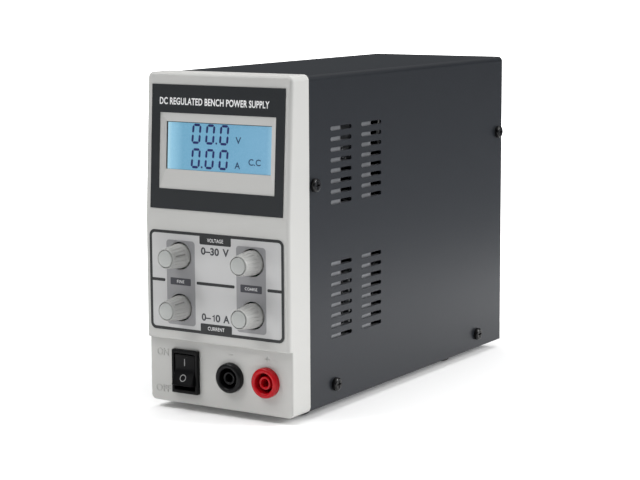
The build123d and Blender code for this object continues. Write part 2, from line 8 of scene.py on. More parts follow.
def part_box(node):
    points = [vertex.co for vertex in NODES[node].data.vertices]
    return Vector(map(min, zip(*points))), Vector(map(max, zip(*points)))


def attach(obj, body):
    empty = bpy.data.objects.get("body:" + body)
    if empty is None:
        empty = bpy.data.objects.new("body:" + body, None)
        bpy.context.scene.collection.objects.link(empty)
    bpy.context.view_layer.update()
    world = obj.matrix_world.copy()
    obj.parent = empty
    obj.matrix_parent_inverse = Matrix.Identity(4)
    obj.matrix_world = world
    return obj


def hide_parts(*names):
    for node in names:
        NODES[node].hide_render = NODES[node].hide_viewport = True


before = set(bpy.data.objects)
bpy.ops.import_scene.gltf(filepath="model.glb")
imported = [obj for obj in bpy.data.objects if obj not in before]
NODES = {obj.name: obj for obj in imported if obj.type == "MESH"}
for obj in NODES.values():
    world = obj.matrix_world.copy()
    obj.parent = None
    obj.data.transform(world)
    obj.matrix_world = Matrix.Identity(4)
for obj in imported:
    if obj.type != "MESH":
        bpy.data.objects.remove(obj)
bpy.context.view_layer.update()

# ---------------------------------------------------------------- the drawing's own frame
# Positions are written in the CAD drawing's millimetres: y = 0 is the cover's front edge
# (the sheet starts 0.4 mm behind it), z = 0 is its lower edge.
MM = 0.001
_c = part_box("top_cover")[0]
Y0, Z0 = _c.y - 0.4 * MM, _c.z


def P(x, y, z):
    return Vector((x * MM, Y0 + y * MM, Z0 + z * MM))


def to_mm(v):
    return (v.x / MM, (v.y - Y0) / MM, (v.z - Z0) / MM)


CONTROL_Y = to_mm(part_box("front_bezel")[0])[1]
LEAN = math.radians(3.27)
RIDGE_Z = 88.0
LOWER_Y = to_mm(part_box("black_socket")[0])[1] + 3.1


def plane_matrix(origin, xd, yd):
    xd, yd = Vector(xd).normalized(), Vector(yd).normalized()
    n = xd.cross(yd)
    m = Matrix.Identity(4)
    for i in range(3):
        m[i][0], m[i][1], m[i][2], m[i][3] = xd[i], yd[i], n[i], origin[i]
    return m


CONTROL = plane_matrix(P(0, CONTROL_Y - 0.25, 0), (1, 0, 0), (0, 0, 1))
LOWER = plane_matrix(P(0, LOWER_Y, 0), (1, 0, 0), (0, 0, 1))
DISPLAY = plane_matrix(P(0, CONTROL_Y, RIDGE_Z), (1, 0, 0), (0, math.sin(LEAN), math.cos(LEAN)))


def disp_v(z):
    """height above the ridge measured along the raked face, from a height z"""
    return (z - RIDGE_Z) / math.cos(LEAN)


# ---------------------------------------------------------------- materials
def _nodes(name):
    m = bpy.data.materials.new(name)
    m.use_nodes = True
    nt = m.node_tree
    nt.nodes.clear()
    out = nt.nodes.new("ShaderNodeOutputMaterial")
    bsdf = nt.nodes.new("ShaderNodeBsdfPrincipled")
    nt.links.new(bsdf.outputs["BSDF"], out.inputs["Surface"])
    return m, nt, bsdf


def _noise(nt, scale, detail=3.0, rough=0.5, coord="Object", stretch=None):
    tc = nt.nodes.new("ShaderNodeTexCoord")
    src = tc.outputs[coord]
    if stretch:
        mp = nt.nodes.new("ShaderNodeMapping")
        mp.inputs["Scale"].default_value = stretch
        nt.links.new(src, mp.inputs["Vector"])
        src = mp.outputs["Vector"]
    n = nt.nodes.new("ShaderNodeTexNoise")
    n.inputs["Scale"].default_value = scale
    n.inputs["Detail"].default_value = detail
    n.inputs["Roughness"].default_value = rough
    nt.links.new(src, n.inputs["Vector"])
    return n.outputs["Fac"]


def _ramp(nt, fac, stops):
    r = nt.nodes.new("ShaderNodeValToRGB")
    els = r.color_ramp.elements
    while len(els) < len(stops):
        els.new(0.5)
    for e, (pos, col) in zip(els, stops):
        e.position = pos
        e.color = (*col, 1.0) if len(col) == 3 else col
    nt.links.new(fac, r.inputs["Fac"])
    return r.outputs["Color"]


def _range(nt, fac, lo, hi):
    r = nt.nodes.new("ShaderNodeMapRange")
    r.inputs["To Min"].default_value = lo
    r.inputs["To Max"].default_value = hi
    nt.links.new(fac, r.inputs["Value"])
    return r.outputs["Result"]


def _bump(nt, bsdf, fac, strength, distance, prev=None):
    b = nt.nodes.new("ShaderNodeBump")
    b.inputs["Strength"].default_value = strength
    b.inputs["Distance"].default_value = distance
    nt.links.new(fac, b.inputs["Height"])
    if prev is not None:
        nt.links.new(prev, b.inputs["Normal"])
    nt.links.new(b.outputs["Normal"], bsdf.inputs["Normal"])
    return b.outputs["Normal"]


def tint(c, k):
    return tuple(min(1.0, x * k) for x in c)


def surface(name, color, rough=(0.4, 0.55), metallic=0.0, spread=0.04, cloud=18.0, grain=1600.0,
            bump=0.15, depth=0.00004, specular=0.5, coat=0.0, coat_rough=0.2, stretch=None, ior=1.5,
            emission=None, wave=None, second=None, tint_spec=None):
    """Colour clouds, fine grain in roughness and bump: the common build of every finish here."""
    m, nt, bsdf = _nodes(name)
    big = _noise(nt, cloud, 4.0, 0.55)
    fine = _noise(nt, grain, 3.0, 0.6, stretch=stretch)
    dark, light = tint(color, 1 - spread), tint(second or color, 1 + spread)
    col = _ramp(nt, big, [(0.3, dark), (0.7, light)])
    nt.links.new(col, bsdf.inputs["Base Color"])
    nt.links.new(_range(nt, fine, rough[0], rough[1]), bsdf.inputs["Roughness"])
    bsdf.inputs["Metallic"].default_value = metallic
    bsdf.inputs["Specular IOR Level"].default_value = specular
    bsdf.inputs["IOR"].default_value = ior
    if tint_spec:
        bsdf.inputs["Specular Tint"].default_value = (*tint_spec, 1)
    if coat:
        bsdf.inputs["Coat Weight"].default_value = coat
        bsdf.inputs["Coat Roughness"].default_value = coat_rough
    prev = _bump(nt, bsdf, fine, bump, depth)
    if wave:
        w = _noise(nt, wave[0], 2.0, 0.5)
        _bump(nt, bsdf, w, wave[1], wave[2], prev)
    if emission:
        bsdf.inputs["Emission Color"].default_value = (*emission[0], 1)
        bsdf.inputs["Emission Strength"].default_value = emission[1]
    return m


MAT = {}
MAT["bezel"] = surface("bezel_plastic", (0.475, 0.473, 0.458), rough=(0.42, 0.56), spread=0.02, cloud=9.0,
                       grain=2600.0, bump=0.28, depth=0.00003, wave=(260.0, 0.10, 0.00003))
MAT["bezel_mark"] = surface("moulded_marking", (0.40, 0.40, 0.385), rough=(0.35, 0.5), spread=0.03, cloud=30.0,
                            grain=2600.0, bump=0.2)
MAT["foil_dark"] = surface("foil_dark", (0.020, 0.022, 0.024), specular=0.33, rough=(0.33, 0.42), spread=0.05, cloud=25.0,
                           grain=3200.0, bump=0.10, depth=0.00002)
MAT["foil_grey"] = surface("foil_grey", (0.46, 0.46, 0.46), rough=(0.36, 0.46), spread=0.02, cloud=16.0,
                           grain=3200.0, bump=0.10, depth=0.00002)
MAT["ink_strip"] = surface("ink_mid_grey", (0.235, 0.235, 0.243), rough=(0.36, 0.46), spread=0.03, cloud=30.0,
                           grain=3200.0, bump=0.10, depth=0.00002)
# dark ink of the printed panel lines; the same material also serves as painted shadow round the read-out window
MAT["dark_ink_and_painted_shadow"] = surface("dark_ink_and_painted_shadow", (0.019, 0.020, 0.021), specular=0.35, rough=(0.36, 0.46), spread=0.05, cloud=40.0,
                          grain=3200.0, bump=0.10, depth=0.00002)
MAT["ink_tag"] = surface("ink_tag", (0.028, 0.028, 0.038), rough=(0.36, 0.46), spread=0.05, cloud=40.0,
                         grain=3200.0, bump=0.10, depth=0.00002)
MAT["ink_white"] = surface("ink_white", (0.80, 0.80, 0.80), rough=(0.4, 0.5), spread=0.03, cloud=90.0,
                           grain=3200.0, bump=0.08, depth=0.00002)
MAT["knob"] = surface("knob_plastic", (0.38, 0.38, 0.37), rough=(0.30, 0.42), spread=0.03, cloud=60.0,
                      grain=2400.0, bump=0.12, depth=0.00003)
MAT["knob_cap"] = surface("knob_cap_plastic", (0.37, 0.38, 0.37), rough=(0.26, 0.38), spread=0.03, cloud=70.0,
                          grain=2400.0, bump=0.10, depth=0.00003)
MAT["symbol"] = surface("symbol_ink", (0.30, 0.30, 0.30), rough=(0.4, 0.5), spread=0.06, cloud=200.0, grain=2500.0)
MAT["ink_text"] = surface("ink_text", (0.035, 0.036, 0.042), rough=(0.4, 0.5), spread=0.06, cloud=90.0, grain=3200.0)
MAT["pointer"] = surface("pointer_ink", (0.22, 0.22, 0.21), rough=(0.4, 0.55), spread=0.1, cloud=200.0, grain=2500.0)
MAT["black"] = surface("black_plastic", (0.0030, 0.0030, 0.0034), specular=0.11, rough=(0.30, 0.42), spread=0.15, cloud=70.0,
                       grain=2200.0, bump=0.10, depth=0.00003)
MAT["black_socket"] = surface("black_socket_plastic", (0.0035, 0.0035, 0.0040), specular=0.17, rough=(0.24, 0.34), spread=0.15,
                              cloud=90.0, grain=2400.0, bump=0.08, depth=0.00003)
MAT["red_socket"] = surface("red_socket_plastic", (0.40, 0.003, 0.008), specular=0.22, rough=(0.20, 0.30), spread=0.06,
                            cloud=90.0, grain=2400.0, bump=0.08, depth=0.00003)
MAT["cover"] = surface("powder_coat_dark", (0.0115, 0.0130, 0.0155), rough=(0.26, 0.36), spread=0.05, cloud=6.0,
                       grain=1500.0, bump=0.30, depth=0.00005, wave=(420.0, 0.18, 0.00006), specular=0.32, tint_spec=(0.86, 0.90, 1.0))
# base colour darker than bright galvanising: partly plain steel's own tone, partly painted shade for the shadow inside
# the case behind the vents
MAT["galvanised"] = surface("galvanised_sheet", (0.22, 0.225, 0.235), rough=(0.34, 0.52), metallic=0.7, spread=0.14,
                            cloud=110.0, grain=900.0, bump=0.12, depth=0.00003)
MAT["screw_black"] = surface("black_oxide", (0.005, 0.005, 0.0055), specular=0.3, rough=(0.16, 0.26), metallic=0.0, spread=0.3,
                             cloud=300.0, grain=2600.0, bump=0.15, depth=0.00003)
MAT["zinc"] = surface("bright_zinc", (0.62, 0.62, 0.58), rough=(0.22, 0.42), metallic=1.0, spread=0.10, cloud=260.0,
                      grain=2400.0, bump=0.12, depth=0.00003)
MAT["chrome"] = surface("bright_wire", (0.72, 0.72, 0.73), rough=(0.10, 0.22), metallic=1.0, spread=0.05, cloud=150.0,
                        grain=2000.0, bump=0.06, depth=0.00002)
MAT["contact"] = surface("nickelled_brass", (0.62, 0.56, 0.42), rough=(0.18, 0.34), metallic=1.0, spread=0.10,
                         cloud=240.0, grain=2400.0, bump=0.08, depth=0.00002)
MAT["tin"] = surface("tin_plate", (0.66, 0.66, 0.64), rough=(0.24, 0.42), metallic=1.0, spread=0.08, cloud=220.0,
                     grain=2400.0, bump=0.10, depth=0.00002)
MAT["fan"] = surface("fan_plastic", (0.017, 0.017, 0.018), rough=(0.36, 0.52), spread=0.2, cloud=60.0, grain=1800.0,
                     bump=0.18)
MAT["selector"] = surface("selector_red", (0.50, 0.03, 0.025), rough=(0.3, 0.45), spread=0.08, cloud=160.0,
                          grain=2200.0)
MAT["rubber"] = surface("foot_rubber", (0.016, 0.016, 0.017), rough=(0.62, 0.82), spread=0.2, cloud=120.0,
                        grain=1400.0, bump=0.3, depth=0.00006)
MAT["board"] = surface("board_mask", (0.018, 0.085, 0.035), rough=(0.22, 0.36), spread=0.25, cloud=45.0, grain=1800.0,
                       bump=0.08)
MAT["ferrite"] = surface("ferrite", (0.045, 0.045, 0.048), rough=(0.55, 0.75), spread=0.15, cloud=90.0, grain=1500.0,
                         bump=0.3)
MAT["tape"] = surface("winding_tape", (0.62, 0.44, 0.06), rough=(0.25, 0.4), spread=0.10, cloud=40.0, grain=1500.0,
                      stretch=(1, 1, 14))
MAT["choke"] = surface("choke_coat", (0.50, 0.16, 0.035), rough=(0.25, 0.42), spread=0.25, cloud=320.0, grain=900.0)
MAT["can"] = surface("can_sleeve", (0.02, 0.028, 0.07), rough=(0.25, 0.36), spread=0.2, cloud=60.0, grain=1500.0)
MAT["sink"] = surface("extruded_aluminium", (0.60, 0.61, 0.62), rough=(0.26, 0.44), metallic=1.0, spread=0.06,
                      cloud=40.0, grain=700.0, stretch=(1, 1, 0.05), bump=0.12)
MAT["pot"] = surface("plated_pot", (0.50, 0.50, 0.48), rough=(0.28, 0.44), metallic=0.9, spread=0.1, cloud=200.0,
                     grain=1800.0)
MAT["shaft"] = surface("turned_shaft", (0.68, 0.68, 0.68), rough=(0.2, 0.36), metallic=1.0, spread=0.05, cloud=120.0,
                       grain=1200.0, stretch=(1, 0.04, 1))
MAT["guide"] = surface("light_guide", (0.60, 0.72, 0.80), rough=(0.2, 0.35), spread=0.05, cloud=40.0, grain=1500.0,
                       emission=((0.45, 0.75, 1.0), 0.15))
MAT["bakelite"] = surface("transistor_epoxy", (0.02, 0.02, 0.021), rough=(0.4, 0.6), spread=0.2, cloud=120.0,
                          grain=1800.0)
MAT["segment"] = surface("lcd_segment", (0.014, 0.016, 0.105), rough=(0.25, 0.35), spread=0.15, cloud=200.0,
                         grain=2600.0, bump=0.04)
MAT["segment_soft"] = surface("lcd_legend", (0.022, 0.055, 0.12), rough=(0.25, 0.35), spread=0.12, cloud=200.0,
                              grain=2600.0, bump=0.04)


def lcd_material(x_left, x_right):
    """Lit blue read-out: brighter by the side-light at its left edge, a faint cloudy mottle, fine polariser grain."""
    m, nt, bsdf = _nodes("lcd_face")
    tc = nt.nodes.new("ShaderNodeTexCoord")
    sep = nt.nodes.new("ShaderNodeSeparateXYZ")
    nt.links.new(tc.outputs["Object"], sep.inputs["Vector"])
    mr = nt.nodes.new("ShaderNodeMapRange")
    mr.inputs["From Min"].default_value = x_left
    mr.inputs["From Max"].default_value = x_right
    nt.links.new(sep.outputs["X"], mr.inputs["Value"])
    grad = _ramp(nt, mr.outputs["Result"], [
        (0.0, (0.50, 0.78, 0.90)), (0.055, (0.31, 0.60, 0.78)), (0.16, (0.185, 0.425, 0.600)),
        (0.62, (0.180, 0.410, 0.590)), (0.95, (0.205, 0.435, 0.620)), (1.0, (0.30, 0.54, 0.70))])
    cloud = _noise(nt, 45.0, 2.0, 0.5)
    mix = nt.nodes.new("ShaderNodeMix")
    mix.data_type = "RGBA"
    mix.blend_type = "MULTIPLY"
    mix.inputs["Factor"].default_value = 1.0
    nt.links.new(grad, mix.inputs["A"])
    nt.links.new(_ramp(nt, cloud, [(0.3, (0.95, 0.96, 0.97)), (0.7, (1.0, 1.0, 1.0))]), mix.inputs["B"])
    dim = nt.nodes.new("ShaderNodeMix")
    dim.data_type = "RGBA"
    dim.blend_type = "MULTIPLY"
    dim.inputs["Factor"].default_value = 1.0
    nt.links.new(mix.outputs["Result"], dim.inputs["A"])
    dim.inputs["B"].default_value = (0.45, 0.45, 0.45, 1)
    nt.links.new(dim.outputs["Result"], bsdf.inputs["Base Color"])
    nt.links.new(mix.outputs["Result"], bsdf.inputs["Emission Color"])
    bsdf.inputs["Emission Strength"].default_value = 0.52
    fine = _noise(nt, 3000.0, 2.0, 0.5)
    nt.links.new(_range(nt, fine, 0.22, 0.32), bsdf.inputs["Roughness"])
    _bump(nt, bsdf, fine, 0.05, 0.00002)
    return m


# ---------------------------------------------------------------- mesh helpers
def put(name, mesh, mat, body="case", smooth=35.0):
    mesh.name = name
    o = bpy.data.objects.new(name, mesh)
    bpy.context.scene.collection.objects.link(o)
    mesh.materials.clear()
    mesh.materials.append(MAT[mat] if isinstance(mat, str) else mat)
    for p in mesh.polygons:
        p.use_smooth = smooth is not None
        p.material_index = 0
    if smooth is not None:
        mesh.set_sharp_from_angle(angle=math.radians(smooth))
    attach(o, body)
    return o


def mesh_from(verts, faces):
    me = bpy.data.meshes.new("m")
    me.from_pydata([tuple(v) for v in verts], [], faces)
    me.validate()
    bm = bmesh.new()
    bm.from_mesh(me)
    bmesh.ops.recalc_face_normals(bm, faces=bm.faces)
    bm.to_mesh(me)
    bm.free()
    return me


def curve_plate(loops, matrix, thick, lift=0.0, join=True):
    """Flat plate of one or more closed outlines (holes allowed), thick mm, standing lift mm off the plane."""
    cu = bpy.data.curves.new("c", "CURVE")
    cu.dimensions = "2D"
    cu.fill_mode = "BOTH"
    cu.extrude = thick * MM / 2
    for loop in loops:
        sp = cu.splines.new("POLY")
        sp.points.add(len(loop) - 1)
        for p, (x, y) in zip(sp.points, loop):
            p.co = (x * MM, y * MM, 0, 1)
        sp.use_cyclic_u = True
    return _bake_curve(cu, matrix @ Matrix.Translation((0, 0, (lift + thick / 2) * MM)))


def _bake_curve(cu, matrix):
    o = bpy.data.objects.new("tmp", cu)
    bpy.context.scene.collection.objects.link(o)
    bpy.context.view_layer.update()
    dg = bpy.context.evaluated_depsgraph_get()
    me = bpy.data.meshes.new_from_object(o.evaluated_get(dg))
    bpy.data.objects.remove(o)
    bpy.data.curves.remove(cu)
    me.transform(matrix)
    bm = bmesh.new()
    bm.from_mesh(me)
    bmesh.ops.remove_doubles(bm, verts=bm.verts, dist=1e-7)
    bmesh.ops.recalc_face_normals(bm, faces=bm.faces)
    bm.to_mesh(me)
    bm.free()
    return me


def text_mesh(body, matrix, x, y, cap, width=None, thick=0.04, lift=0.0, bold=0.0, track=1.0, squeeze=None):
    """Lettering centred on (x, y) mm in a plane; cap is the capital height, width the whole line's width."""
    cu = bpy.data.curves.new("t", "FONT")
    cu.body = body
    cu.align_x = "LEFT"
    cu.size = 1.0
    cu.space_character = track
    cu.extrude = 0.0
    cu.offset = 0.0
    cu.resolution_u = 4
    o = bpy.data.objects.new("tmp", cu)
    bpy.context.scene.collection.objects.link(o)
    bpy.context.view_layer.update()
    xs = [c[0] for c in o.bound_box]
    ys = [c[1] for c in o.bound_box]
    w, h = max(xs) - min(xs), max(ys) - min(ys)
    k = cap * MM / h
    sx = (width * MM / w) if width else k * (squeeze or 1.0)
    cu.offset = bold * MM / k
    cu.extrude = thick * MM / 2 / k
    bpy.context.view_layer.update()
    dg = bpy.context.evaluated_depsgraph_get()
    me = bpy.data.meshes.new_from_object(o.evaluated_get(dg))
    bpy.data.objects.remove(o)
    bpy.data.curves.remove(cu)
    cx, cy = (max(xs) + min(xs)) / 2, (max(ys) + min(ys)) / 2
    me.transform(Matrix.Translation((-cx, -cy, 0)))
    me.transform(Matrix.Diagonal((sx, k, k, 1)))
    me.transform(matrix @ Matrix.Translation((x * MM, y * MM, (lift + thick / 2) * MM)))
    bm = bmesh.new()
    bm.from_mesh(me)
    bmesh.ops.remove_doubles(bm, verts=bm.verts, dist=1e-8)
    bmesh.ops.recalc_face_normals(bm, faces=bm.faces)
    bm.to_mesh(me)
    bm.free()
    return me


def rounded(x0, x1, y0, y1, r, n=8, corners=(1, 1, 1, 1)):
    """Rounded rectangle outline, anticlockwise from the lower left corner; corners picks which are round."""
    pts = []
    spec = [((x0 + r, y0 + r), 180, corners[0], (x0, y0)), ((x1 - r, y0 + r), 270, corners[1], (x1, y0)),
            ((x1 - r, y1 - r), 0, corners[2], (x1, y1)), ((x0 + r, y1 - r), 90, corners[3], (x0, y1))]
    for (cx, cy), start, on, corner in spec:
        if not on:
            pts.append(corner)
            continue
        for i in range(n + 1):
            a = math.radians(start + 90.0 * i / n)
            pts.append((cx + r * math.cos(a), cy + r * math.sin(a)))
    return pts


def circle_pts(cx, cy, r, n=72):
    return [(cx + r * math.cos(2 * math.pi * i / n), cy + r * math.sin(2 * math.pi * i / n)) for i in range(n)]


def join_meshes(meshes):
    bm = bmesh.new()
    for me in meshes:
        bm.from_mesh(me)
        bpy.data.meshes.remove(me)
    out = bpy.data.meshes.new("joined")
    bm.to_mesh(out)
    bm.free()
    return out


def lathe(x, z, profile, n=96, flute=None):
    """Solid turned about the line (x, *, z). profile is a closed run of (radius, y) in mm from axis to axis.
    flute(angle, radius, y) may return a radius change."""
    verts, faces, rings = [], [], []
    for r, y in profile:
        if r <= 1e-6:
            rings.append([len(verts)])
            verts.append(P(x, y, z))
            continue
        ring = []
        for i in range(n):
            a = 2 * math.pi * i / n
            rr = r + (flute(a, r, y) if flute else 0.0)
            ring.append(len(verts))
            verts.append(P(x + rr * math.sin(a), y, z + rr * math.cos(a)))
        rings.append(ring)
    pairs = list(zip(rings, rings[1:]))
    if len(rings[0]) > 1 or len(rings[-1]) > 1:
        pairs.append((rings[-1], rings[0]))
    for a, b in pairs:
        if len(a) == 1 and len(b) == 1:
            continue
        if len(a) == 1:
            for i in range(n):
                faces.append((a[0], b[(i + 1) % n], b[i]))
        elif len(b) == 1:
            for i in range(n):
                faces.append((a[i], a[(i + 1) % n], b[0]))
        else:
            for i in range(n):
                j = (i + 1) % n
                faces.append((a[i], a[j], b[j], b[i]))
    return mesh_from(verts, faces)


def bevel_mesh(me, width, segments=3, angle=30.0):
    bm = bmesh.new()
    bm.from_mesh(me)
    bmesh.ops.remove_doubles(bm, verts=bm.verts, dist=1e-7)
    edges = [e for e in bm.edges if len(e.link_faces) == 2 and e.calc_face_angle(0) > math.radians(angle)]
    bmesh.ops.bevel(bm, geom=edges, offset=width * MM, offset_type="OFFSET", segments=segments, profile=0.5,
                    affect="EDGES", clamp_overlap=True)
    bm.to_mesh(me)
    bm.free()
    return me


def prism(poly, x0, x1):
    """Closed (y, z) outline in mm, extruded from x0 to x1."""
    n = len(poly)
    verts = [P(x0, y, z) for y, z in poly] + [P(x1, y, z) for y, z in poly]
    faces = [tuple(range(n)), tuple(range(2 * n - 1, n - 1, -1))]
    faces += [(i, (i + 1) % n, n + (i + 1) % n, n + i) for i in range(n)]
    return mesh_from(verts, faces)


# ---------------------------------------------------------------- front bezel and its moulded marks
def dress(node, mat):
    o = NODES[node]
    o.data.materials.clear()
    o.data.materials.append(MAT[mat] if isinstance(mat, str) else mat)
    for p in o.data.polygons:
        p.material_index = 0


dress("front_bezel", "bezel")
marks = [text_mesh("ON", LOWER, -33.4, 23.1, 3.5, 6.6, thick=0.22, bold=0.02),
         text_mesh("OFF", LOWER, -33.5, 5.3, 3.4, 8.6, thick=0.22, bold=0.02),
         curve_plate([rounded(25.2, 27.8, 25.55, 26.05, 0.2, 3)], LOWER, 0.22),
         curve_plate([rounded(26.25, 26.75, 24.5, 27.1, 0.2, 3)], LOWER, 0.22),
         curve_plate([rounded(4.9, 7.3, 25.55, 26.05, 0.2, 3)], LOWER, 0.22)]
put("moulded_marks", join_meshes(marks), "bezel_mark")

# ---------------------------------------------------------------- dark foil round the read-out
dress("display_label", "foil_dark")
title = text_mesh("DC REGULATED BENCH POWER SUPPLY", DISPLAY, -2.0, disp_v(143.3), 3.15, 61.5,
                  thick=0.03, lift=0.3, bold=0.085, track=1.04)
put("display_title", title, "ink_white")

# ---------------------------------------------------------------- read-out
gl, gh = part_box("lcd_panel")
dress("lcd_panel", lcd_material(-0.0298, 0.0298))
LCD = DISPLAY @ Matrix.Translation((0, 0, -1.4 * MM))


def bar(x0, y0, x1, y1, w, slant):
    """One read-out segment: a bar with pointed ends from (x0, y0) to (x1, y1)."""
    d = Vector((x1 - x0, y1 - y0))
    length = d.length
    d.normalize()
    n = Vector((-d.y, d.x))
    h = w / 2
    raw = [(0, 0), (h, h), (length - h, h), (length, 0), (length - h, -h), (h, -h)]
    pts = []
    for a, b in raw:
        p = Vector((x0, y0)) + d * a + n * b
        pts.append((p.x + p.y * slant, p.y))
    return pts


def zero(cx, cy, w, h, t):
    """Outlines of the six lit segments of a 0, centred on (cx, cy)."""
    s = math.tan(math.radians(4.5))
    g = 0.16
    xl, xr = -w / 2 + t / 2, w / 2 - t / 2
    yt, yb = h / 2 - t / 2, -h / 2 + t / 2
    loops = [bar(xl + g, yt, xr - g, yt, t, s), bar(xl + g, yb, xr - g, yb, t, s),
             bar(xl, yt - g, xl, 0.36, t, s), bar(xr, yt - g, xr, 0.36, t, s),
             bar(xl, -0.36, xl, yb + g, t, s), bar(xr, -0.36, xr, yb + g, t, s)]
    return [[(x + cx, y + cy) for x, y in lp] for lp in loops]


loops = []
row1, row2 = disp_v(128.5), disp_v(117.1)
for cx in (-12.6, -4.75, 3.15):
    loops += zero(cx, row1, 5.1, 9.4, 1.15)
for cx in (-12.75, -4.9, 3.0):
    loops += zero(cx, row2, 5.1, 9.4, 1.15)
dots = [rounded(-1.65, -0.75, row1 - 4.45, row1 - 3.55, 0.25, 4),
        rounded(-9.7, -8.8, row2 - 4.45, row2 - 3.55, 0.25, 4)]
segs = [curve_plate([lp], LCD, 0.02) for lp in loops + dots]
put("readout_digits", join_meshes(segs), "segment", smooth=None)
legend = [text_mesh("V", LCD, 11.1, disp_v(126.4), 3.0, 2.9, thick=0.02, bold=0.07),
          text_mesh("A", LCD, 10.8, disp_v(114.9), 2.9, 2.9, thick=0.02, bold=0.07),
          text_mesh("C.C", LCD, 20.3, disp_v(116.8), 2.9, 6.6, thick=0.02, bold=0.07)]
W = (-29.6, 29.6, 23.45, 45.85)
# painted shadow: a thin dark frame round the read-out window, wider at the left and top, stands in for the shade at the
# glass's edge
painted_shadow_frame = curve_plate([rounded(W[0] - 0.6, W[1] + 0.6, W[2] - 0.6, W[3] + 0.6, 0.2, 3),
                      rounded(W[0] + 0.62, W[1] - 0.02, W[2] + 0.06, W[3] - 0.3, 0.1, 3)], LCD, 0.03)
put("readout_painted_shadow_frame", painted_shadow_frame, "dark_ink_and_painted_shadow", smooth=None)
put("readout_legend", join_meshes(legend), "segment_soft", smooth=None)

# ---------------------------------------------------------------- knob foil: printed lines, strips, tags
dress("control_label", "foil_grey")
INK = 0.035
ring = curve_plate([rounded(-38.0, 38.0, 34.8, 82.6, 3.0), rounded(-36.58, 36.58, 36.27, 81.18, 1.7)], CONTROL, INK)
mid = [curve_plate([rounded(-37.3, -29.1, 58.03, 59.47, 0.6, 5, (0, 1, 1, 0))], CONTROL, INK * 0.98),
       curve_plate([rounded(-10.9, 10.7, 58.03, 59.47, 0.62, 5)], CONTROL, INK * 0.98),
       curve_plate([rounded(28.9, 37.3, 58.03, 59.47, 0.6, 5, (1, 0, 0, 1))], CONTROL, INK * 0.98),
       curve_plate([rounded(-8.9, 8.9, 77.3, 82.2, 0.6, 5, (1, 1, 0, 0))], CONTROL, INK * 0.96),
       curve_plate([rounded(-8.9, 8.9, 35.2, 39.9, 0.6, 5, (0, 0, 1, 1))], CONTROL, INK * 0.96)]
put("panel_lines", join_meshes([ring] + mid), "dark_ink_and_painted_shadow")
KX = 20.5
KZ = (70.9, 46.2)
strips = []
for s in (-1, 1):
    a, b = sorted((s * 11.75, s * 28.15))
    loops = [rounded(a, b, 37.85, 78.25, 1.7)] + [circle_pts(s * KX, z, 6.62) for z in KZ]
    strips.append(curve_plate(loops, CONTROL, INK))
put("knob_strips", join_meshes(strips), "ink_strip")
tags = [curve_plate([rounded(-26.0, -14.2, 56.95, 60.3, 0.4, 4)], CONTROL, INK, lift=INK),
        curve_plate([rounded(14.0, 25.9, 56.75, 60.35, 0.4, 4)], CONTROL, INK, lift=INK)]
put("grade_tags", join_meshes(tags), "ink_tag")
white = [text_mesh("VOLTAGE", CONTROL, 0.0, 79.45, 1.7, 9.0, thick=0.02, lift=INK, bold=0.0, track=1.08),
         text_mesh("CURRENT", CONTROL, 0.0, 37.75, 1.7, 9.4, thick=0.02, lift=INK, bold=0.0, track=1.08),
         text_mesh("FINE", CONTROL, -20.1, 58.62, 1.35, 4.2, thick=0.02, lift=2 * INK, bold=0.0, track=1.08),
         text_mesh("COARSE", CONTROL, 19.95, 58.55, 1.35, 6.9, thick=0.02, lift=2 * INK, bold=0.0, track=1.08)]
put("tag_lettering", join_meshes(white), "ink_white")
one = [(-0.1, -1.6), (0.5, -1.6), (0.5, 1.6), (0.08, 1.6), (-0.05, 1.25), (-0.35, 1.0), (-0.85, 0.93), (-0.85, 0.5), (-0.1, 0.5)]
dark = [text_mesh("0–30", CONTROL, -3.0, 74.25, 3.3, 9.9, thick=0.03, bold=0.16),
        text_mesh("V", CONTROL, 5.95, 74.25, 3.3, 3.1, thick=0.03, bold=0.16),
        text_mesh("0–", CONTROL, -5.6, 42.95, 3.3, 4.9, thick=0.03, bold=0.16),
        curve_plate([[(x - 1.3, y + 42.95) for x, y in one]], CONTROL, 0.03),
        text_mesh("0", CONTROL, 1.05, 42.95, 3.3, 2.35, thick=0.03, bold=0.16),
        text_mesh("A", CONTROL, 5.85, 42.95, 3.3, 3.1, thick=0.03, bold=0.16)]
put("range_lettering", join_meshes(dark), "ink_text")

# ---------------------------------------------------------------- knobs
FLUTES = 18


def knob_flute(a, r, y):
    if not (-28.3 < y < -19.5):
        return 0.0
    step = 2 * math.pi / FLUTES
    d = (a + step / 2) % step - step / 2
    fade = min(1.0, (y + 28.3) / 0.8, (-19.5 - y) / 0.8)
    return -0.24 * fade * math.exp(-((d / 0.055) ** 2))


def cone_r(y):
    return 5.78 + (4.75 - 5.78) * (-18.9 - y) / (-18.9 + 28.4)


